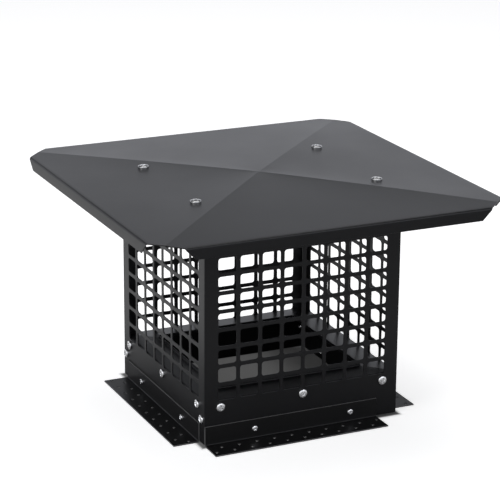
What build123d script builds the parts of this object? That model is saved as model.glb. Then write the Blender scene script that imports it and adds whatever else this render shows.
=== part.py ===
from build123d import *
import os
from math import atan, cos, degrees, sin, sqrt, tan

# Square chimney cap: a cage of four punched steel panels on a mitred base frame,
# held to the chimney crown by four perforated angle brackets, under a shallow
# cross-broken lid with folded skirts. The origin is the middle of the footprint on the
# surface that the bracket flanges rest on, +Z is up, and -Y is the front. Millimetres.

# Sheet thicknesses
panel_sheet = 1.2
rail_sheet = 1.0
bracket_sheet = 1.5
lid_sheet = 1.0
angle_sheet = 1.2

# Clearances: between lapped sheets, at a mitre, above a cut edge, round a screw, and past the
# lid where its quarter is cut
lap_gap = 0.1
mitre_gap = 0.5
edge_gap = 0.3
screw_gap = 0.05
cut_margin = 1.0

# Cage, over the outside faces of the panels
cage_width = 229.0

# Punched mesh: as many columns as leave the margin at each side, and the same plain band
# above and below the holes
side_margin = 15.0
hole_rows = 8
hole_width = 20.9
hole_height = 15.85
hole_corner = 2.0
mesh_bar = 4.34
plain_band = 48.0

# Angles inside the top of the side panels, which carry the lid. Each fold outside the lid is
# drawn as one narrow flat set back from the corner.
angle_bend = 1.4
angle_leg = 10.5
angle_reach = 18.7
angle_inset = 24.5

# Base frame: a wall behind each panel, a flat ledge and a lip round the flue opening
rail_bend = 1.2
ledge_height = 48.6
flue_opening = 168.0
lip_height = 3.5

# Angle brackets, shorter than the cage by an inset at each end. The front one is moved along
# until its left end lies at the corner.
bracket_inset = 12.5
bracket_leg = 21.0
bracket_reach = 30.0
bracket_bend = 1.6
flange_hole = 1.75
outer_row = 22.0
inner_row = 11.0
row_pitch = 20.5

# Lid
lid_width = 406.0
lid_rise = 5.8
lid_skirt = 13.0
lid_clip = 30.6
lid_bend = 1.8

# Screws: head radius, head height, shank radius, shank length
panel_screw = (4.5, 2.6, 2.1, 12.0)
bracket_screw = (2.9, 2.0, 1.6, 9.5)
lid_screw = (6.0, 3.4, 2.6, 12.0)
panel_screw_drop = 8.0
panel_screw_inset = 18.2
corner_screw_height = 27.0
corner_screw_inset = 7.5
bracket_screw_height = 10.4
bracket_screw_inset = 57.5
lid_screw_inset = 8.3
lid_screw_end = 17.6
wall_cut = 12.0
lid_cut = 14.0
head_sides = 8
shank_sides = 6
head_taper = 31.0
tip_taper = 33.0

# Sizes that follow from the ones above
half_cage = cage_width / 2
panel_inner = half_cage - panel_sheet
panel_base = bracket_sheet
column_pitch = hole_width + mesh_bar
row_step = hole_height + mesh_bar
hole_columns = int((cage_width - 2 * side_margin + mesh_bar) / column_pitch)
mesh_height = hole_rows * row_step - mesh_bar
mesh_middle = panel_base + plain_band + mesh_height / 2
panel_top = panel_base + 2 * plain_band + mesh_height
ledge_top = panel_base + ledge_height
angle_half = half_cage - angle_inset
bracket_length = cage_width - 2 * bracket_inset
row_holes = int((bracket_length - row_pitch / 2) / row_pitch) + 1
panel_screw_spread = half_cage - panel_screw_inset
corner_screw_spread = half_cage - corner_screw_inset
bracket_screw_spread = half_cage - bracket_screw_inset
lid_screw_x = half_cage - lid_screw_inset
lid_screw_y = angle_half - lid_screw_end
half_lid = lid_width / 2
lid_slope = atan(lid_rise / half_lid)
lid_under_cage = panel_top + edge_gap


def lid_under(distance):
    """Height of the lid's underside at a distance from the middle of the lid."""
    return lid_under_cage + (half_cage - distance) * tan(lid_slope)


def rounded_fold(points, radius, thickness, side):
    """Section of a sheet with round folds: one face as a path, and the thickness to one side."""
    path = FilletPolyline(*points, radius=radius)
    return make_face(offset(path, amount=thickness, side=side).edges())


def flat_fold(points, setback, thickness, side):
    """Section of a sheet whose folds are narrow flats, set back along the path each way."""
    corners = [Vector(*point) for point in points]
    path = [corners[0]]
    for before, corner, after in zip(corners, corners[1:], corners[2:]):
        path.append(corner + (before - corner).normalized() * setback)
        path.append(corner + (after - corner).normalized() * setback)
    path.append(corners[-1])
    wall = offset(Polyline(*path), amount=thickness, side=side, kind=Kind.INTERSECTION)
    return make_face(wall.edges())


def turned(part, quarter):
    """A copy of a piece drawn on the left side, turned to side 0 left, 1 front, 2 right, 3 rear."""
    return Rot(0, 0, 90 * quarter) * part


def screw_hole(shank, depth):
    """Cutter for one screw, centred on the origin along Z, a little larger than its shank."""
    return extrude(RegularPolygon(shank + screw_gap, shank_sides), amount=depth / 2, both=True)


def mesh_cutter():
    """The punched holes of a left-hand panel, as one group of short prisms along X."""
    outline = chamfer(Rectangle(hole_width, hole_height).vertices(), hole_corner)
    grid = GridLocations(column_pitch, row_step, hole_columns, hole_rows)
    sheet_plane = Plane(origin=(-half_cage, 0, mesh_middle), x_dir=(0, -1, 0), z_dir=(-1, 0, 0))
    holes = Sketch() + [spot * outline for spot in grid]
    return extrude(sheet_plane * holes, amount=panel_sheet * 3, both=True)


def wall_holes(spots, size):
    """Cutters through every sheet of a left-hand wall, at (y, z) spots, for one kind of screw."""
    cutter = screw_hole(size[2], wall_cut)
    return [Pos(-half_cage, y, z) * Rot(0, -90, 0) * cutter for y, z in spots]


def panel_spots():
    z = ledge_top - panel_screw_drop
    return [(-panel_screw_spread, z), (0.0, z), (panel_screw_spread, z)]


def corner_spots():
    z = panel_base + corner_screw_height
    return [(-corner_screw_spread, z), (corner_screw_spread, z)]


def bracket_spots():
    z = panel_base + bracket_screw_height
    return [(-bracket_screw_spread, z), (bracket_screw_spread, z)]


def flat_panel(width, spots):
    """A flat punched panel of the left side, over the given width, with holes for its screws."""
    height = panel_top - panel_base
    panel = Pos(-half_cage + panel_sheet / 2, 0, panel_base + height / 2) * Box(
        panel_sheet, width, height
    )
    panel -= mesh_cutter()
    panel -= wall_holes(spots, panel_screw)
    panel -= wall_holes(bracket_spots(), bracket_screw)
    return panel


def side_panel():
    """Left panel: between the front and rear panels, with the corner screws low at its ends."""
    return flat_panel(2 * (panel_inner - lap_gap), panel_spots() + corner_spots())


def face_panel():
    """Front or rear panel, drawn on the left: over the full width of the cage."""
    return flat_panel(cage_width, panel_spots())


def lid_angle():
    """Angle inside the top of the left panel, its upper leg sloping with the lid above it."""
    wall_x = -panel_inner + lap_gap
    crest = lid_under(-wall_x) - lap_gap
    over = [
        (wall_x, crest - angle_leg),
        (wall_x, crest),
        (wall_x + angle_reach * cos(lid_slope), crest + angle_reach * sin(lid_slope)),
    ]
    section = Plane.XZ * flat_fold(over, angle_bend, angle_sheet, Side.RIGHT)
    angle = extrude(section, amount=angle_half, both=True)
    return angle - [seat * screw_hole(lid_screw[2], lid_cut) for seat in lid_screw_seats(-1)]


def base_rail(corner_screws):
    """Left rail of the base frame: wall, ledge and lip in one fold, mitred at both ends."""
    wall_x = -panel_inner + lap_gap
    lip_x = -flue_opening / 2 - rail_sheet
    path = [
        (wall_x, panel_base),
        (wall_x, ledge_top),
        (lip_x, ledge_top),
        (lip_x, ledge_top + lip_height),
    ]
    section = Plane.XZ * flat_fold(path, rail_bend, rail_sheet, Side.RIGHT)
    rail = extrude(section, amount=half_cage, both=True)
    back_off = mitre_gap / sqrt(2)
    wedge = make_face(
        Polyline(
            (-back_off, 0),
            (-half_cage, half_cage - back_off),
            (-half_cage, back_off - half_cage),
            close=True,
        ).edges()
    )
    rail &= extrude(wedge, amount=2 * ledge_top)
    rail -= wall_holes(panel_spots(), panel_screw)
    rail -= wall_holes(bracket_spots(), bracket_screw)
    if corner_screws:
        rail -= wall_holes(corner_spots(), panel_screw)
    return rail


def angle_bracket(offset):
    """Left bracket: a folded angle, moved along the wall by the offset, with two rows of holes."""
    leg_x = -half_cage - lap_gap
    tip_x = -half_cage - bracket_reach
    path = [(leg_x, panel_base + bracket_leg), (leg_x, 0), (tip_x, 0)]
    section = Plane.XZ * flat_fold(path, bracket_bend, bracket_sheet, Side.RIGHT)
    bracket = extrude(section, amount=bracket_length / 2, both=True)
    round_hole = Cylinder(flange_hole, 4 * bracket_sheet)
    spare_hole = Box(2 * flange_hole, 2 * flange_hole, 4 * bracket_sheet)
    last = row_holes - 1
    for reach, shift, ends in ((outer_row, row_pitch / 4, (0, last)), (inner_row, -row_pitch / 4, ())):
        for index, spot in enumerate(GridLocations(1, row_pitch, 1, row_holes)):
            cutter = round_hole if index in ends else spare_hole
            bracket -= Pos(-half_cage - reach, shift, 0) * spot * cutter
    return Pos(0, offset, 0) * bracket - wall_holes(bracket_spots(), bracket_screw)


def lid_screw_seats(side):
    """Places on the lid's top face for the screws of one side, with +Z square to the sheet."""
    x = side * lid_screw_x
    z = lid_under(lid_screw_x) + lid_sheet / cos(lid_slope)
    tilt = side * degrees(lid_slope)
    return [Pos(x, y, z) * Rot(0, tilt, 0) for y in (-lid_screw_y, lid_screw_y)]


def lid_quarter():
    """Left quarter of the lid: a sloping facet out to the eave, and the skirt below its fold."""
    eave = lid_under(half_lid) + lid_sheet / cos(lid_slope)
    crown = eave + lid_rise
    path = [(0, crown), (-half_lid, eave), (-half_lid, eave - lid_skirt)]
    section = Plane.XZ * rounded_fold(path, lid_bend, lid_sheet, Side.LEFT)
    quarter = extrude(section, amount=half_lid, both=True)
    facet = half_lid + cut_margin
    corner = half_lid - lid_clip
    outline = make_face(
        Polyline((0, 0), (-facet, facet), (-facet, -facet), close=True).edges()
    )
    clipped = make_face(
        Polyline(
            (0, -2 * half_lid),
            (-corner, -half_lid),
            (-half_lid, -corner),
            (-half_lid, corner),
            (-corner, half_lid),
            (0, 2 * half_lid),
            close=True,
        ).edges()
    )
    quarter &= extrude(outline & clipped, amount=2 * crown)
    for end in (-1, 1):
        mitre = make_face(
            Polyline(
                (end * corner, eave - lid_bend),
                (end * (corner - lid_skirt), eave - lid_bend - lid_skirt),
                (end * (corner + lid_skirt), eave - lid_bend - lid_skirt),
                (end * (corner + lid_skirt), eave - lid_bend),
                close=True,
            ).edges()
        )
        plane = Plane(origin=(-half_lid, 0, 0), x_dir=(0, 1, 0), z_dir=(1, 0, 0))
        quarter -= extrude(plane * mitre, amount=3 * lid_bend, both=True)
    return quarter


def lid():
    """Cross-broken lid: four facets meeting at the hips, with a skirt folded down on each side."""
    quarter = lid_quarter()
    sheet = quarter + [turned(quarter, k) for k in (1, 2, 3)]
    for side in (-1, 1):
        sheet -= [seat * screw_hole(lid_screw[2], lid_cut) for seat in lid_screw_seats(side)]
    return sheet


def screw(size):
    """Pan-head sheet screw along Z, with the underside of its head at the origin."""
    head, height, shank, length = size
    cap = extrude(RegularPolygon(head, head_sides), amount=height, taper=head_taper)
    core = RegularPolygon(shank, shank_sides)
    body = extrude(core, amount=shank - length)
    tip = Pos(0, 0, shank - length) * Rot(180, 0, 0) * extrude(core, amount=shank, taper=tip_taper)
    return cap + body + tip


def wall_screws(size, spots, seat_x, quarter):
    """Screws driven through one wall, with their heads on the face at seat_x."""
    one = screw(size)
    placed = [Pos(-seat_x, y, z) * Rot(0, -90, 0) * one for y, z in spots]
    return Compound(children=[turned(part, quarter) for part in placed])


def lid_screws():
    one = screw(lid_screw)
    seats = lid_screw_seats(-1) + lid_screw_seats(1)
    return Compound(children=[seat * one for seat in seats])


sides = {"left": 0, "front": 1, "right": 2, "rear": 3}
faces = ("front", "rear")
bracket_seat = half_cage + lap_gap + bracket_sheet

nodes = {"lid": lid(), "lid_screws": lid_screws()}
side_master = side_panel()
face_master = face_panel()
front_offset = half_cage - bracket_length / 2
bracket_master = angle_bracket(0.0)
for name, quarter in sides.items():
    is_face = name in faces
    nodes[name + "_panel"] = turned(face_master if is_face else side_master, quarter)
    nodes[name + "_base_rail"] = turned(base_rail(corner_screws=not is_face), quarter)
    bracket = angle_bracket(front_offset) if name == "front" else bracket_master
    nodes[name + "_bracket"] = turned(bracket, quarter)
    nodes[name + "_panel_screws"] = wall_screws(panel_screw, panel_spots(), half_cage, quarter)
    nodes[name + "_bracket_screws"] = wall_screws(
        bracket_screw, bracket_spots(), bracket_seat, quarter
    )
    if not is_face:
        nodes[name + "_lid_angle"] = turned(lid_angle(), quarter)
        nodes[name + "_corner_screws"] = wall_screws(
            panel_screw, corner_spots(), half_cage, quarter
        )

os.makedirs("parts", exist_ok=True)
for name, shape in nodes.items():
    export_step(shape, "parts/" + name + ".step")
    print(name, len(shape.solids()), "solids", round(shape.volume, 1), "mm3")
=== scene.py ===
import math
import bmesh
import bpy
import numpy as np
from mathutils import Matrix, Vector


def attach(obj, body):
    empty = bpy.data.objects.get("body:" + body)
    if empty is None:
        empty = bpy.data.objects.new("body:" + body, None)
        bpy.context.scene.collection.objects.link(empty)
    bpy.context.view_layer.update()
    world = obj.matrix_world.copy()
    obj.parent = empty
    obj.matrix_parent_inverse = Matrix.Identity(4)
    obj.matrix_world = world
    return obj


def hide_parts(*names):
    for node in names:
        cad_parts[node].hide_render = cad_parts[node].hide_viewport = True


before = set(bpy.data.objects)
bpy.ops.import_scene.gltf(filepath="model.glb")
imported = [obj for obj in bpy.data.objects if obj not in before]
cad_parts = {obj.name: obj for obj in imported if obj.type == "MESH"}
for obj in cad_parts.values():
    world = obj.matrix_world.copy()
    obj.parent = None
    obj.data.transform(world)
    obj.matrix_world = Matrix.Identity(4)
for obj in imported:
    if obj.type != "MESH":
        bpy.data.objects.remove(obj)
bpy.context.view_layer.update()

# Metres in a millimetre. The sizes of the cap are in millimetres
MM = 0.001

# Sizes that are the same as those of the solids
HALF_CAGE = 114.5
LAP_GAP = 0.1
PANEL_SHEET = 1.2
ANGLE_SHEET = 1.2
RAIL_SHEET = 1.0
BRACKET_SHEET = 1.5
LID_SHEET = 1.0

PANEL_BASE = BRACKET_SHEET
PLAIN_BAND = 48.0
HOLES = 8
HOLE_WIDE = 20.9
HOLE_TALL = 15.85
MESH_BAR = 4.34
MESH_TALL = HOLES * (HOLE_TALL + MESH_BAR) - MESH_BAR
PANEL_TOP = PANEL_BASE + 2 * PLAIN_BAND + MESH_TALL

ANGLE_LEG = 10.5
ANGLE_REACH = 18.7
ANGLE_INSET = 24.5
ANGLE_HALF = HALF_CAGE - ANGLE_INSET

LEDGE_TOP = 50.1
HALF_OPENING = 84.0
LIP_TALL = 3.5
MITRE_GAP = 0.5

BRACKET_LEG = 22.5
BRACKET_REACH = 30.0
BRACKET_INSET = 12.5
HALF_BRACKET = HALF_CAGE - BRACKET_INSET
ROW_HOLES = 10
ROW_PITCH = 20.5
OUTER_ROW = 22.0
INNER_ROW = 11.0
FLANGE_HOLE = 1.75

HALF_LID = 203.0
LID_RISE = 5.8
LID_SKIRT = 13.0
LID_CLIP = 30.6
LID_CLEAR = 0.3
LID_SLOPE = math.atan(LID_RISE / HALF_LID)
LID_UNDER_CAGE = PANEL_TOP + LID_CLEAR

# Forms that the solids have plainer: the radii of the punched holes' corners and of the folds,
# and how far the lid's facets are hollowed
HOLE_ROUND = 2.8
ANGLE_FOLD = 2.0
RAIL_FOLD = 1.5
BRACKET_FOLD = 2.5
LID_FOLD = 2.4
DISH_DEPTH = 0.8

# Screws: the radius and height of the head, then the radius and length of the shank. The heads
# differ a little from those of the solids
PANEL_SCREW = (4.9, 2.6, 2.1, 12.0)
BRACKET_SCREW = (3.3, 2.0, 1.6, 9.5)
LID_SCREW = (6.0, 3.1, 2.6, 12.0)

# Rows of screws in a wall: how far they spread to each side, how high they are, and how many
PANEL_ROW = (HALF_CAGE - 18.2, LEDGE_TOP - 8.0, 3)
CORNER_ROW = (HALF_CAGE - 7.5, PANEL_BASE + 27.0, 2)
BRACKET_ROW = (HALF_CAGE - 57.5, PANEL_BASE + 10.4, 2)
BRACKET_FACE = HALF_CAGE + LAP_GAP + BRACKET_SHEET
LID_SCREW_X = HALF_CAGE - 8.3
LID_SCREW_Y = ANGLE_HALF - 17.6

# Quarter turns that take a left-hand piece to each side of the cap, and two directions
SIDES = {"left": 0, "front": 1, "right": 2, "rear": 3}
LEFT = np.array([-1.0, 0.0, 0.0])
UP = np.array([0.0, 0.0, 1.0])


# Shader maths and nodes


def feed(tree, socket, value):
    """Links a value to a socket, or sets the socket to a plain number, colour or vector."""
    if isinstance(value, Value):
        tree.links.new(value.socket, socket)
    else:
        socket.default_value = value


class Value:
    """A shader socket that can be used in Python expressions. Each operator adds its Math node."""

    def __init__(self, tree, socket):
        self.tree = tree
        self.socket = socket

    def math(self, operation, *others, flip=False):
        """Adds a Math node on this value and others. With flip, this value comes last."""
        node = self.tree.nodes.new("ShaderNodeMath")
        node.operation = operation
        inputs = [self, *others]
        if flip:
            inputs.reverse()
        for place, value in enumerate(inputs):
            feed(self.tree, node.inputs[place], value)
        return Value(self.tree, node.outputs[0])

    def __add__(self, other):
        return self.math("ADD", other)

    def __sub__(self, other):
        return self.math("SUBTRACT", other)

    def __rsub__(self, other):
        return self.math("SUBTRACT", other, flip=True)

    def __mul__(self, other):
        return self.math("MULTIPLY", other)

    def __abs__(self):
        return self.math("ABSOLUTE")

    __radd__ = __add__
    __rmul__ = __mul__


def set_stops(ramp, stops):
    """Gives a colour ramp its stops, each one a place and a grey."""
    while len(ramp) < len(stops):
        ramp.new(0.5)
    for stop, (place, grey) in zip(ramp, stops):
        stop.position = place
        stop.color = (grey, grey, grey, 1.0)


class Finish:
    """The nodes of a material or a world. put() adds any node, and the other methods use it."""

    def __init__(self, owner):
        owner.use_nodes = True
        self.owner = owner
        self.tree = owner.node_tree
        self.tree.nodes.clear()

    def put(self, kind, settings=None, out=0, **sockets):
        """Adds a node from its type, its settings and its socket values.

        The settings are set first, a ramp's stops among them. Returns the output named by out.
        """
        node = self.tree.nodes.new(kind)
        for key, setting in (settings or {}).items():
            if key == "stops":
                set_stops(node.color_ramp.elements, setting)
            else:
                setattr(node, key, setting)
        for key, value in sockets.items():
            feed(self.tree, node.inputs[key.replace("_", " ")], value)
        return Value(self.tree, node.outputs[out]) if node.outputs else None

    def grain(self, scale, detail, roughness):
        """Noise on the piece's own coordinates, in cycles per metre. It averages a half."""
        place = self.put("ShaderNodeTexCoord", out="Object")
        return self.put("ShaderNodeTexNoise", Vector=place, Scale=scale, Detail=detail, Roughness=roughness)

    def rise(self, value, start, end, least=0.0):
        """A smooth step from least to 1 as a value goes from start to end."""
        return self.put(
            "ShaderNodeMapRange",
            {"clamp": True, "interpolation_type": "SMOOTHSTEP"},
            Value=value,
            From_Min=start,
            From_Max=end,
            To_Min=least,
        )

    def bump(self, height, strength, depth):
        """A normal that is tilted by the slopes of a height."""
        return self.put("ShaderNodeBump", Height=height, Strength=strength, Distance=depth)

    def axis(self, place, letter):
        """One coordinate of a place."""
        return self.put("ShaderNodeSeparateXYZ", out=letter, Vector=place)

    def rays(self, kind):
        """1 for rays of one kind, such as Camera or Glossy, and 0 for all others."""
        return self.put("ShaderNodeLightPath", out="Is " + kind + " Ray")

    def close(self, shader, end="ShaderNodeOutputMaterial"):
        """Ends the nodes with their output, and returns the material or world."""
        self.put(end, Surface=shader)
        return self.owner


# Finishes

# Noises of the coat and of the zinc: scale in cycles per metre, detail and roughness
PEEL, DRIFT, FLECK = (900.0, 3.0, 0.6), (9.0, 4.0, 0.55), (2600.0, 1.0, 0.5)
PATCH, MARKS = (700.0, 3.0, 0.6), (3000.0, 1.0, 0.5)
# Bumps: strength, and depth in metres
PEEL_BUMP, MARK_BUMP = (0.1, 0.0002), (0.15, 0.0001)
COAT_IOR = 1.3


def powder_coat(name, shade, gloss):
    """Satin black powder coat: fine orange peel in the bump, and roughness that drifts a little.

    The noises average a half, so shade and roughness stay near the values given.
    """
    finish = Finish(bpy.data.materials.new(name))
    peel, drift, fleck = (finish.grain(*noise) for noise in (PEEL, DRIFT, FLECK))
    tone = drift * 0.25 + fleck * 0.12 + 0.82
    shader = finish.put(
        "ShaderNodeBsdfPrincipled",
        Base_Color=finish.put("ShaderNodeVectorMath", {"operation": "SCALE"}, Vector=shade, Scale=tone),
        Roughness=drift * 0.1 + fleck * 0.04 + (gloss - 0.07),
        IOR=COAT_IOR,
        Normal=finish.bump(peel, *PEEL_BUMP),
    )
    return finish.close(shader)


def zinc_plate(name, dull, bright):
    """Zinc on the screws: metal with patches between two greys, and faint drawn marks."""
    finish = Finish(bpy.data.materials.new(name))
    patch, marks = finish.grain(*PATCH), finish.grain(*MARKS)
    shader = finish.put(
        "ShaderNodeBsdfPrincipled",
        Base_Color=finish.put("ShaderNodeValToRGB", {"stops": [(0.2, dull), (0.8, bright)]}, Fac=patch),
        Metallic=1.0,
        Roughness=patch * 0.16 + 0.12,
        Normal=finish.bump(marks, *MARK_BUMP),
    )
    return finish.close(shader)


lid_coat = powder_coat("lid_coat", (0.007, 0.007, 0.0078), 0.33)
mesh_coat = powder_coat("mesh_coat", (0.006, 0.006, 0.0068), 0.36)
frame_coat = powder_coat("frame_coat", (0.0085, 0.0085, 0.0093), 0.36)
# Painted shade: the brackets' black powder coat is made about half as light as the frame's, for the shade
# and dark reflections they show low by the walls
shaded_bracket_coat = powder_coat("shaded_bracket_coat", (0.004, 0.004, 0.0042), 0.36)
# Painted highlight: a light grey on the brackets' cut edges, standing in for the thin highlights along them
edge_highlight_coat = powder_coat("edge_highlight_coat", (0.16, 0.16, 0.16), 0.40)
zinc = zinc_plate("zinc", 0.52, 0.78)
lid_zinc = zinc_plate("lid_zinc", 0.26, 0.42)


# Meshes from grids of points

# How near points are, in metres, to count as one point, and edges short enough to drop
SAME_POINT, NO_LENGTH = 2e-6, 1e-7
# Edges past the first angle are sharp, and past the second they are worn down by a width
SHARP_ANGLE, WORN_ANGLE, WORN_EDGE = math.radians(32), math.radians(40), 0.18


def weld(name, patches, finish, outward=None):
    """One mesh from grids of points in millimetres.

    Each patch is an array (..., rows, columns, 3). Its faces are the quads between neighbouring
    rows and columns, and points that fall together are merged. An open sheet is turned so that
    its faces look along outward. A closed body has no outward, and its faces look away from
    its inside.
    """
    points, faces, start = [], [], 0
    for patch in patches:
        grids = np.asarray(patch, float).reshape(-1, *np.shape(patch)[-3:])
        index = np.arange(grids[..., 0].size).reshape(grids.shape[:3]) + start
        quads = [index[:, :-1, :-1], index[:, 1:, :-1], index[:, 1:, 1:], index[:, :-1, 1:]]
        faces.append(np.stack(quads, -1).reshape(-1, 4))
        points.append(grids.reshape(-1, 3))
        start += index.size
    mesh = bpy.data.meshes.new(name)
    mesh.from_pydata((np.concatenate(points) * MM).tolist(), [], np.concatenate(faces).tolist())
    form = bmesh.new()
    form.from_mesh(mesh)
    bmesh.ops.remove_doubles(form, verts=form.verts, dist=SAME_POINT)
    bmesh.ops.dissolve_degenerate(form, edges=form.edges, dist=NO_LENGTH)
    bmesh.ops.recalc_face_normals(form, faces=form.faces)
    if outward is not None:
        facing = sum(face.calc_area() * face.normal.dot(outward) for face in form.faces)
        if facing < 0:
            bmesh.ops.reverse_faces(form, faces=form.faces)
    form.to_mesh(mesh)
    form.free()
    mesh.shade_smooth()
    mesh.set_sharp_from_angle(angle=SHARP_ANGLE)
    mesh.materials.append(finish)
    piece = bpy.data.objects.new(name, mesh)
    bpy.context.scene.collection.objects.link(piece)
    return piece


def sheet(name, patches, outward, thickness, finish, cut=None):
    """A welded sheet, made thick away from its outer face, with its edges worn a little.

    cut is a finish for the cut edges. The light grey given for the brackets' cut edges is a painted
    highlight.
    """
    piece = weld(name, patches, finish, outward)
    shell = piece.modifiers.new("sheet", "SOLIDIFY")
    shell.thickness = thickness * MM
    shell.offset = -1.0
    shell.use_even_offset = True
    shell.use_quality_normals = True
    if cut:
        piece.data.materials.append(cut)
        shell.material_offset_rim = 1
    worn = piece.modifiers.new("edges", "BEVEL")
    worn.width = WORN_EDGE * MM
    worn.segments = 1
    worn.limit_method = "ANGLE"
    worn.angle_limit = WORN_ANGLE
    worn.harden_normals = True
    return piece


def crease(mesh, test):
    """Makes those edges sharp that a test picks by their two end points in millimetres."""
    ends = np.empty(len(mesh.edges) * 2, np.int32)
    mesh.edges.foreach_get("vertices", ends)
    points = np.empty(len(mesh.vertices) * 3)
    mesh.vertices.foreach_get("co", points)
    sharp = np.empty(len(mesh.edges), bool)
    mesh.edges.foreach_get("use_edge_sharp", sharp)
    sharp |= test(points.reshape(-1, 3)[ends.reshape(-1, 2)] / MM)
    mesh.edges.foreach_set("use_edge_sharp", sharp)


def keep(piece, node):
    """Rides a finished piece on the cap in the place of its plain solid."""
    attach(piece, "root")
    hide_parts(node)


# Shared shapes


def surface(x, y, z):
    """A grid of points from three sets of values that broadcast together to rows and columns."""
    return np.stack(np.broadcast_arrays(x, y, z), -1)


def turned(points, quarter):
    """Points turned about the vertical axis by quarter turns, with whole-number sines."""
    c, s = [(1, 0), (0, 1), (-1, 0), (0, -1)][quarter]
    return np.asarray(points) @ np.array([[c, s, 0], [-s, c, 0], [0, 0, 1]], float)


def rounded_path(corners, radius, steps=6):
    """A path whose inner corners are arcs of the given radius, tangent to both runs."""
    corners = [np.array(corner, float) for corner in corners]
    path = [corners[0][None]]
    for before, corner, after in zip(corners, corners[1:], corners[2:]):
        back = (before - corner) / np.linalg.norm(before - corner)
        on = (after - corner) / np.linalg.norm(after - corner)
        half = 0.5 * math.acos(np.clip(back @ on, -1, 1))
        setback = radius / math.tan(half)
        centre = corner + (back + on) / np.linalg.norm(back + on) * radius / math.sin(half)
        first, last = corner + back * setback - centre, corner + on * setback - centre
        turn = math.pi - 2 * half
        t = np.linspace(0, 1, steps + 1)[:, None]
        path.append(centre + (np.sin((1 - t) * turn) * first + np.sin(t * turn) * last) / math.sin(turn))
    path.append(corners[-1][None])
    return np.concatenate(path)


def lid_under(distance):
    """Height of the lid's underside: a straight fall from the middle at the slope of the lid."""
    return LID_UNDER_CAGE + (HALF_CAGE - distance) * math.tan(LID_SLOPE)


# Plates of pierced cells

# Places of a cell's border points along one side, as shares of the side from corner to corner,
# and for each the hole's outline: how far along the straight run, and how many degrees past
# the corner's diagonal
SIDE_SHARES = np.array([0.0, 0.14, 0.3, 0.434, 0.566, 0.7, 0.86])
HOLE_RUNS = np.array([0.0, 0.0, 0.0, 1 / 3, 2 / 3, 1.0, 1.0])
HOLE_TURNS = np.array([0.0, 22.5, 45.0, 45.0, 45.0, 45.0, 67.5])


def side_places(lines):
    """Where the border points fall along a row of cells, from its grid lines."""
    inner = lines[:-1, None] + np.diff(lines)[:, None] * SIDE_SHARES
    return np.append(inner.ravel(), lines[-1])


def cell_rings(across, up, holes):
    """A plate of rectangular cells, each one a ring from its hole's outline to its border.

    across and up are the grid lines. holes gives, for each cell as an array (cells across,
    cells up, 5), the hole's centre, its half width and half height, and the radius of its
    corners. A hole of no size closes the cell to its centre. On each side of the border the
    points lie at the side's shares. The outline's point is the centre of the corner's arc,
    moved along the straight run to the next arc, plus the radius at the turned angle.
    Neighbouring cells share the points of their border.
    """
    x0, y0 = np.meshgrid(across[:-1], up[:-1], indexing="ij")
    x1, y1 = np.meshgrid(across[1:], up[1:], indexing="ij")
    count = len(SIDE_SHARES)
    share, one, zero = SIDE_SHARES, np.ones(count), np.zeros(count)
    walk_x = np.concatenate([share, one, 1 - share, zero, [0.0]])
    walk_y = np.concatenate([zero, share, one, 1 - share, [0.0]])
    border_x = x0[..., None] + (x1 - x0)[..., None] * walk_x
    border_y = y0[..., None] + (y1 - y0)[..., None] * walk_y
    sides = np.append(np.repeat(np.arange(4), count), 0)
    run = np.append(np.tile(HOLE_RUNS, 4), 0.0)
    angle = np.radians(np.append(np.tile(HOLE_TURNS, 4), 0.0) + 90 * sides - 135)
    corner_x, corner_y = np.array([-1, 1, 1, -1, -1]), np.array([-1, -1, 1, 1, -1])
    arc_x = corner_x[sides] + (corner_x[sides + 1] - corner_x[sides]) * run
    arc_y = corner_y[sides] + (corner_y[sides + 1] - corner_y[sides]) * run
    cx, cy, half_w, half_h, radius = [holes[..., k, None] for k in range(5)]
    hole_x = cx + arc_x * (half_w - radius) + radius * np.cos(angle)
    hole_y = cy + arc_y * (half_h - radius) + radius * np.sin(angle)
    hole = np.stack([hole_x, hole_y], -1)
    border = np.stack([border_x, border_y], -1)
    return np.stack([hole, border], -3)


# Punched panels


def mesh_lines(half_width):
    """Grid lines of a punched panel: its edges, and a line in the middle of every bar."""
    step_across, step_up = HOLE_WIDE + MESH_BAR, HOLE_TALL + MESH_BAR
    across = (np.arange(HOLES + 1) - HOLES / 2) * step_across
    up = PANEL_BASE + PLAIN_BAND - MESH_BAR / 2 + np.arange(HOLES + 1) * step_up
    return np.r_[-half_width, across, half_width], np.r_[PANEL_BASE, up, PANEL_TOP]


def mesh_holes(across, up):
    """Hole of each cell: punched cells are the inner ones, the outer ring of cells is plain."""
    holes = np.zeros((len(across) - 1, len(up) - 1, 5))
    holes[..., 0] = ((across[:-1] + across[1:]) / 2)[:, None]
    holes[..., 1] = (up[:-1] + up[1:]) / 2
    holes[1:-1, 1:-1, 2:] = (HOLE_WIDE / 2, HOLE_TALL / 2, HOLE_ROUND)
    return holes


def punched_panel(quarter, half_width):
    """Flat punched plate of one wall: its cells run across along Y and up along Z."""
    across, up = mesh_lines(half_width)
    flat = cell_rings(across, up, mesh_holes(across, up))
    return [turned(surface(-HALF_CAGE, flat[..., 0], flat[..., 1]), quarter)]


# Folded lid angles, rails and brackets

# Points along an angle or a rail
RUN_POINTS = 9


def lid_angle(quarter):
    """Angle inside the top of a side panel: its section, with a round fold, carried along Y."""
    wall = -HALF_CAGE + PANEL_SHEET + LAP_GAP
    crest = lid_under(-wall) - LAP_GAP
    tip = (wall + ANGLE_REACH * math.cos(LID_SLOPE), crest + ANGLE_REACH * math.sin(LID_SLOPE))
    path = rounded_path([(wall, crest - ANGLE_LEG), (wall, crest), tip], ANGLE_FOLD)
    y = np.linspace(-ANGLE_HALF, ANGLE_HALF, RUN_POINTS)
    return [turned(surface(path[:, 0, None], y, path[:, 1, None]), quarter)]


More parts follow.
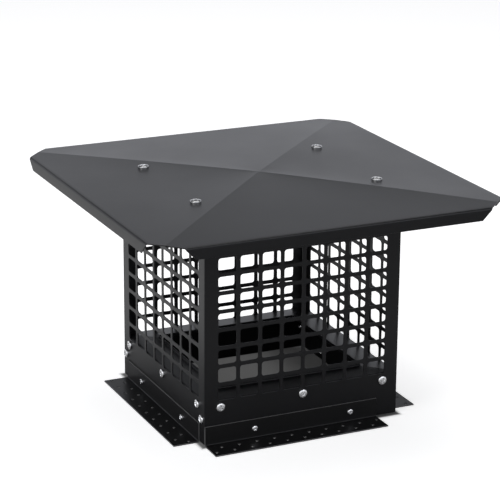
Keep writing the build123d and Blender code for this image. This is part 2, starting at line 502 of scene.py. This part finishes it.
def base_rail(quarter):
    """Rail of the base frame: wall, ledge and lip in one section, cut to the mitre at both ends.

    Each point of the section is carried along Y to where |y| = |x| less the mitre's gap.
    """
    wall = -HALF_CAGE + PANEL_SHEET + LAP_GAP
    lip = -HALF_OPENING - RAIL_SHEET
    corners = [(wall, PANEL_BASE), (wall, LEDGE_TOP), (lip, LEDGE_TOP), (lip, LEDGE_TOP + LIP_TALL)]
    path = rounded_path(corners, RAIL_FOLD, steps=5)
    x = path[:, 0, None]
    half = np.abs(x) - MITRE_GAP / math.sqrt(2)
    return [turned(surface(x, half * np.linspace(-1, 1, RUN_POINTS), path[:, 1, None]), quarter)]


def angle_bracket(quarter, offset):
    """Bracket: leg and fold as a section carried along Y, then a flange of pierced cells.

    The flange's cells are half a pitch long, so the holes of its two rows fall in turn.
    The offset moves the bracket along its wall.
    """
    leg = -HALF_CAGE - LAP_GAP
    tip = -HALF_CAGE - BRACKET_REACH
    section = rounded_path([(leg, BRACKET_LEG), (leg, 0.0), (tip, 0.0)], BRACKET_FOLD)[:-1]
    across = [tip, -HALF_CAGE - (INNER_ROW + OUTER_ROW) / 2, section[-1, 0]]
    half_pitch = ROW_PITCH / 2
    lines = np.arange(-ROW_HOLES, ROW_HOLES + 1) * half_pitch
    lines[[0, -1]] = -HALF_BRACKET, HALF_BRACKET
    number = np.arange(2 * ROW_HOLES)
    holes = np.zeros((2, 2 * ROW_HOLES, 5))
    holes[0, :, 0] = -HALF_CAGE - OUTER_ROW
    holes[1, :, 0] = -HALF_CAGE - INNER_ROW
    holes[..., 1] = (number - ROW_HOLES + 0.5) * half_pitch
    bored = np.stack([number % 2 == 1, number % 2 == 0])
    holes[bored, 2:] = FLANGE_HOLE
    flat = cell_rings(across, lines, holes)
    flange = surface(flat[..., 0], flat[..., 1], 0.0)
    upper = surface(section[:, 0, None], side_places(lines), section[:, 1, None])
    return [turned(patch + (0, offset, 0), quarter) for patch in (upper, flange)]


# The lid

# Rows of points on a facet, up to the clipped corner and beyond it, points along each row,
# steps round the fold, and how near to a hip an edge's ends are
FACET_ROWS, CLIP_ROWS, ROW_POINTS, FOLD_STEPS = 24, 5, 33, 8
NEAR_HIP = 0.01


def hip_lift(distance, t):
    """Rise of the lid's sheet over its plane: 4 D s (1 - s) t^2, with s the share of the way out."""
    share = np.clip(distance / (HALF_LID - LID_FOLD), 0, 1)
    return 4 * DISH_DEPTH * share * (1 - share) * t**2


def lid_side(quarter):
    """One facet of the lid, its fold and its skirt, as rows of points parallel to the eave.

    A row at distance d from the middle runs to the hips, |y| = d, and past the start of the
    clipped corner to |y| = 2 R - clip - d. Below the fold the ends come in as fast as the
    skirt goes down. Each facet is a little hollow: the row rises towards its ends by
    hip_lift(d, t), where t runs from -1 to 1 along the row.
    """
    eave = lid_under(HALF_LID) + LID_SHEET / math.cos(LID_SLOPE)
    corners = [(0.0, eave + LID_RISE), (HALF_LID, eave), (HALF_LID, eave - LID_SKIRT)]
    path = rounded_path(corners, LID_FOLD, FOLD_STEPS)
    fold_start, fold = path[1], path[2:]
    clip_start = HALF_LID - LID_CLIP / 2
    inner = np.linspace(0, clip_start, FACET_ROWS, endpoint=False)
    facet = np.r_[inner, np.linspace(clip_start, fold_start[0], CLIP_ROWS)]
    rows = np.r_[facet, fold[:, 0]]
    heights = np.r_[eave + LID_RISE * (1 - facet / HALF_LID), fold[:, 1]]
    drop = np.maximum(0.0, fold_start[1] - LID_FOLD - heights)
    half = np.minimum(rows, 2 * HALF_LID - LID_CLIP - rows) - drop
    t = np.linspace(-1, 1, ROW_POINTS)
    lift = hip_lift(rows[:, None], t)
    return turned(surface(-rows[:, None], half[:, None] * t, heights[:, None] + lift), quarter)


def on_hip(ends):
    """Picks the edges that run along a hip of the lid: both ends have |x| = |y|."""
    reach = np.abs(ends)
    return (np.abs(reach[..., 0] - reach[..., 1]) < NEAR_HIP).all(-1)


# Pan-head screws

# Points around a screw, and rows down its dome, its rolled rim and its shank
AROUND, DOME_ROWS, ROLL_ROWS, SHANK_ROWS = 49, 22, 6, 44
# The dome as a share of the head's radius, and its crown and the rim's roll as shares of the
# head's height
DOME, CROWN, RIM_ROLL = 0.86, 0.28, 0.3
# How much of an ellipse the dome follows, and the power that spreads its rows
DOME_END, DOME_SPREAD = 0.98, 1.1
# The cross: half the width and half the length of its arms and the slopes of their walls and
# ends, as shares of the head's radius, and the depth of the recess as a share of its height
ARM_WIDE, ARM_LONG, ARM_WALL, ARM_END, RECESS = 0.17, 0.6, 0.07, 0.12, 0.55
# Pitch, core and ridge of the thread and length of the point as shares of the shank's radius,
# the width of the tip as a share of the core, and the thread's run-in in millimetres
PITCH, CORE, RIDGE, POINT_LONG, POINT_WIDE, RUN_IN = 0.75, 0.8, 0.2, 1.6, 0.06, 1.5
# Turn of the cross in a row's first screw, from each screw to the next, and from side to side
WALL_TURNS = (0.5, 1.1, 0.7)
LID_TURNS = (0.4, 0.9)


def smooth_step(x):
    """0 up to x = 0, 1 from x = 1, and x^2 (3 - 2 x) between them."""
    x = np.clip(x, 0, 1)
    return x * x * (3 - 2 * x)


def cross_arms(x, y, turn):
    """1 where a point lies within the arms of a turned cross, and 0 outside them."""
    u = np.abs(x * math.cos(turn) + y * math.sin(turn))
    v = np.abs(y * math.cos(turn) - x * math.sin(turn))
    upright = smooth_step((ARM_WIDE - u) / ARM_WALL) * smooth_step((ARM_LONG - v) / ARM_END)
    level = smooth_step((ARM_WIDE - v) / ARM_WALL) * smooth_step((ARM_LONG - u) / ARM_END)
    return np.maximum(upright, level)


def pan_screw(head, height, shank, length, turn):
    """A pan-head screw along Z, as a surface of angle a and rows from its top to its point.

    The head is a low dome that rolls over into a short upright rim. Its top is sunk where
    the point lies within the arms of a cross, which gives the driver's recess. Below the
    head the radius is the core's plus a ridge of |2 f - 1|, where f is the fraction of
    z / pitch + a / 2 pi, and it narrows to the point.
    """
    a = np.linspace(0, 2 * math.pi, AROUND)
    dome = np.sin(np.linspace(0, 1, DOME_ROWS) * math.pi / 2) ** DOME_SPREAD
    z_dome = height * (1 - CROWN + CROWN * np.sqrt(1 - (DOME_END * dome) ** 2))
    roll = np.linspace(0, math.pi / 2, ROLL_ROWS)[1:]
    r_roll = head * (DOME + (1 - DOME) * np.sin(roll))
    z_roll = z_dome[-1] - height * RIM_ROLL * (1 - np.cos(roll))
    r_head = np.r_[head * DOME * dome, r_roll, head, shank]
    z_head = np.r_[z_dome, z_roll, 0.0, 0.0]
    top = surface(r_head[:, None] * np.cos(a), r_head[:, None] * np.sin(a), z_head[:, None])
    sunk = cross_arms(top[:DOME_ROWS, :, 0] / head, top[:DOME_ROWS, :, 1] / head, turn)
    top[:DOME_ROWS, :, 2] -= RECESS * height * sunk
    down = np.linspace(0, -length, SHANK_ROWS)[1:, None]
    fraction = (down / (PITCH * shank) + a / (2 * math.pi)) % 1.0
    ridge = RIDGE * shank * np.abs(2 * fraction - 1) * smooth_step(-down / RUN_IN)
    taper = smooth_step((length + down) / (POINT_LONG * shank))
    radius = (CORE * shank + ridge) * (POINT_WIDE + (1 - POINT_WIDE) * taper)
    low = surface(radius * np.cos(a), radius * np.sin(a), down)
    tip = np.broadcast_to([0.0, 0.0, -length], (1, AROUND, 3))
    return np.concatenate([top, low, tip])


def seated(grid, place, out):
    """A screw's points with its axis turned to look along out, set at its place."""
    side = np.cross(UP, out)
    side = side / np.linalg.norm(side)
    return grid @ np.stack([side, np.cross(out, side), out]) + place


def wall_screws(side, kind, size, seat, row):
    """A row of screws in one wall, each with its own turn of the cross, kept as one piece."""
    quarter = SIDES[side]
    spread, height, count = row
    first, following, around = WALL_TURNS
    patches = []
    for number, y in enumerate(np.linspace(-spread, spread, count)):
        grid = pan_screw(*size, first + following * number + around * quarter)
        patches.append(turned(seated(grid, (-seat, y, height), LEFT), quarter))
    group = weld(side + "_" + kind + "_pan_screws", patches, zinc)
    keep(group, side + "_" + kind + "_screws")


def lid_screws():
    """Screws through the lid, square to its left and right facets and seated on them."""
    spots = [(x, y) for x in (-LID_SCREW_X, LID_SCREW_X) for y in (-LID_SCREW_Y, LID_SCREW_Y)]
    first, following = LID_TURNS
    patches = []
    for number, (x, y) in enumerate(spots):
        grid = pan_screw(*LID_SCREW, first + following * number)
        top = lid_under(abs(x)) + LID_SHEET / math.cos(LID_SLOPE) + hip_lift(abs(x), y / x)
        out = (math.copysign(math.sin(LID_SLOPE), x), 0, math.cos(LID_SLOPE))
        patches.append(seated(grid, (x, y, top), out))
    return weld("lid_pan_screws", patches, lid_zinc)


# Pieces of the cap

lid = sheet("lid_folded", [lid_side(quarter) for quarter in SIDES.values()], UP, LID_SHEET, lid_coat)
crease(lid.data, on_hip)
keep(lid, "lid")

for side, quarter in SIDES.items():
    full_width = side in ("front", "rear")
    outward = turned(LEFT, quarter)

    half_width = HALF_CAGE if full_width else HALF_CAGE - PANEL_SHEET - LAP_GAP
    cells = punched_panel(quarter, half_width)
    panel = sheet(side + "_panel_punched", cells, outward, PANEL_SHEET, mesh_coat)
    keep(panel, side + "_panel")

    rail = sheet(side + "_rail_folded", base_rail(quarter), outward + UP, RAIL_SHEET, frame_coat)
    keep(rail, side + "_base_rail")

    folds = angle_bracket(quarter, BRACKET_INSET if side == "front" else 0.0)
    # The bracket's darker coat is painted shade, and the light grey on its cut edges is a painted highlight
    bracket = sheet(side + "_bracket_folded", folds, -outward - UP, BRACKET_SHEET, shaded_bracket_coat, edge_highlight_coat)
    keep(bracket, side + "_bracket")

    wall_screws(side, "panel", PANEL_SCREW, HALF_CAGE, PANEL_ROW)
    wall_screws(side, "bracket", BRACKET_SCREW, BRACKET_FACE, BRACKET_ROW)

    if not full_width:
        angle = sheet(side + "_angle_folded", lid_angle(quarter), outward + UP, ANGLE_SHEET, frame_coat)
        keep(angle, side + "_lid_angle")
        wall_screws(side, "corner", PANEL_SCREW, HALF_CAGE, CORNER_ROW)

keep(lid_screws(), "lid_screws")


# Floor

# How white the floor is away from the cap, and the grey of painted shade within the cage's outline
# under its flue opening; then how much it is lifted: to plain white for the camera, by painted light
# under the flue opening, and by painted reflection light where a reflection sees it
FLOOR_SHADE, FLUE_PAINTED_SHADE = 0.9, 0.15
FLOOR_LIFT, PAINTED_REFLECTION_LIFT, FLUE_PAINTED_LIGHT = 0.7, 0.62, 0.1
# Where each change on the floor starts and ends, in metres: at the cage's outline, away from
# the cap, from front to rear, and from right to left. The last two start from a least share
CAGE_EDGE = (0.116, 0.122)
AWAY = (0.18, 0.42)
REARWARD, REAR_LEAST = (-0.8, 0.2), 0.3
LEFTWARD, LEFT_LEAST = (0.1, 0.03), 0.3
# The floor is a disc of rings, a little below the flanges, in millimetres
FLOOR_RINGS = np.array([0.0, 0.4, 1.5, 6.0, 30.0]) / MM
FLOOR_AROUND = 129
FLOOR_DROP = 0.2


def pale_floor():
    """A white floor, grey within the cage's outline, where little light falls.

    The grey is painted shade. To the camera the floor is lifted towards plain white outside that
    outline, and within it by a little painted light, brighter to the left. Reflections see it lifted
    by painted reflection light away from the cap, and more so to the rear.
    """
    finish = Finish(bpy.data.materials.new("pale_floor"))
    place = finish.put("ShaderNodeTexCoord", out="Object")
    x, y = finish.axis(place, "X"), finish.axis(place, "Y")
    distance = finish.put("ShaderNodeVectorMath", {"operation": "LENGTH"}, out="Value", Vector=place)
    outside = finish.rise(abs(x).math("MAXIMUM", abs(y)), *CAGE_EDGE)
    # Painted reflection light: a glow only reflections see, none near the cap, rising away from it and
    # stronger to the rear
    further = finish.rise(distance, *AWAY)
    behind = finish.rise(y, *REARWARD, REAR_LEAST)
    # Painted light under the flue opening: the camera sees the floor there lifted by a glow that is
    # brighter to the left
    inside = finish.rise(x, *LEFTWARD, LEFT_LEAST)
    seen = outside + inside * (1.0 - outside) * FLUE_PAINTED_LIGHT
    painted_reflection_light = further * behind * PAINTED_REFLECTION_LIFT
    shader = finish.put(
        "ShaderNodeBsdfPrincipled",
        # Base colour: white outside the cage's outline, and grey of painted shade within it
        Base_Color=outside * (FLOOR_SHADE - FLUE_PAINTED_SHADE) + FLUE_PAINTED_SHADE,
        Roughness=0.95,
        Specular_IOR_Level=0.0,
        Emission_Color=finish.rays("Camera") * seen + finish.rays("Glossy") * painted_reflection_light,
        Emission_Strength=FLOOR_LIFT,
    )
    return finish.close(shader)


def floor_disc():
    """Rings of points about the middle, a little below the cap: x = r cos a and y = r sin a."""
    a = np.linspace(0, 2 * math.pi, FLOOR_AROUND)
    rings = FLOOR_RINGS[:, None]
    return surface(rings * np.cos(a), rings * np.sin(a), -FLOOR_DROP)


weld("floor", [floor_disc()], pale_floor(), UP)


# Studio light

# Surroundings: brightness against the sine of the height above the horizon, the share of it
# that lights the object, and what the camera itself sees
SKY_STOPS = [(0.0, 1.25), (0.2, 1.25), (0.3, 0.76), (0.38, 0.28), (0.6, 0.13), (1.0, 0.22)]
SKY_LIGHT = 0.7
COOL_WHITE, WHITE_SKY = (0.965, 0.985, 1.05, 1.0), 1.05
# A bright strip high in front, for reflections: its heights, its forward places and its power
STRIP_STOPS = [(0.4, 0.0), (0.48, 1.0), (0.64, 1.0), (0.72, 0.0)]
STRIP_START, STRIP_END = -0.3, -0.5
STRIP_POWER = 4.0


def studio():
    """Studio surroundings: white low down and darker overhead, and plain white to the camera.

    Reflections also show a bright strip high in front.
    """
    around = Finish(bpy.data.worlds.new("studio"))
    look = around.put("ShaderNodeTexCoord", out="Generated")
    y, z = around.axis(look, "Y"), around.axis(look, "Z")
    height = around.put("ShaderNodeValToRGB", {"stops": SKY_STOPS}, Fac=z)
    band = around.put("ShaderNodeValToRGB", {"stops": STRIP_STOPS}, Fac=z)
    front = around.put(
        "ShaderNodeMapRange", {"clamp": True}, Value=y, From_Min=STRIP_START, From_Max=STRIP_END
    )
    camera_ray, glossy_ray = around.rays("Camera"), around.rays("Glossy")
    share = glossy_ray * (1.0 - SKY_LIGHT) + SKY_LIGHT
    shone = height * share + band * front * glossy_ray * STRIP_POWER
    strength = shone * (1.0 - camera_ray) + camera_ray * WHITE_SKY
    sky = around.put("ShaderNodeBackground", Color=COOL_WHITE, Strength=strength)
    return around.close(sky, "ShaderNodeOutputWorld")


def soft_lamp(name, place, aim, size, power):
    """A square area lamp at a place, turned to look at its aim."""
    lamp = bpy.data.lights.new(name, "AREA")
    lamp.size = size
    lamp.energy = power
    holder = bpy.data.objects.new(name, lamp)
    holder.location = place
    holder.rotation_euler = (Vector(aim) - Vector(place)).to_track_quat("-Z", "Y").to_euler()
    bpy.context.scene.collection.objects.link(holder)


bpy.context.scene.world = studio()
soft_lamp("left_softbox", place=(-1.6, -0.5, 1.1), aim=(0.0, 0.0, 0.15), size=1.2, power=12.0)
soft_lamp("top_softbox", place=(0.3, 0.5, 2.0), aim=(0.0, 0.0, 0.2), size=1.4, power=14.0)


# Camera of the photograph

# The turn about the cap, the angle above it and the roll, then the distance and the target's
# height in metres, then the focal length, the optical centre and the photograph's width in
# pixels, and the width of the sensor in millimetres
AZIMUTH, ELEVATION, ROLL = math.radians(-25.138), math.radians(17.978), math.radians(0.51)
DISTANCE, TARGET_HEIGHT = 2.27774, 0.16945
FOCAL_PIXELS, CENTRE_X, CENTRE_Y, FRAME = 2070.93, 258.34, 250.0, 500.0
SENSOR = 36.0


def photo_camera():
    """Camera at the photograph's place. back is the way from the target to it."""
    back = np.array(
        [
            math.sin(AZIMUTH) * math.cos(ELEVATION),
            -math.cos(AZIMUTH) * math.cos(ELEVATION),
            math.sin(ELEVATION),
        ]
    )
    right = np.cross(-back, UP)
    right /= np.linalg.norm(right)
    above = np.cross(right, -back)
    rolled_right = math.cos(ROLL) * right + math.sin(ROLL) * above
    rolled_up = math.cos(ROLL) * above - math.sin(ROLL) * right
    place = back * DISTANCE + UP * TARGET_HEIGHT
    lens = bpy.data.cameras.new("photo_camera")
    lens.sensor_width = SENSOR
    lens.lens = FOCAL_PIXELS * SENSOR / FRAME
    lens.shift_x = (FRAME / 2 - CENTRE_X) / FRAME
    lens.shift_y = (CENTRE_Y - FRAME / 2) / FRAME
    lens.clip_start = 0.05
    lens.clip_end = 100.0
    camera = bpy.data.objects.new("photo_camera", lens)
    axes = np.stack([rolled_right, rolled_up, back, place], -1)
    camera.matrix_world = Matrix([*axes.tolist(), [0, 0, 0, 1]])
    bpy.context.scene.collection.objects.link(camera)
    return camera


bpy.context.scene.camera = photo_camera()
bpy.context.scene.view_settings.view_transform = "Standard"
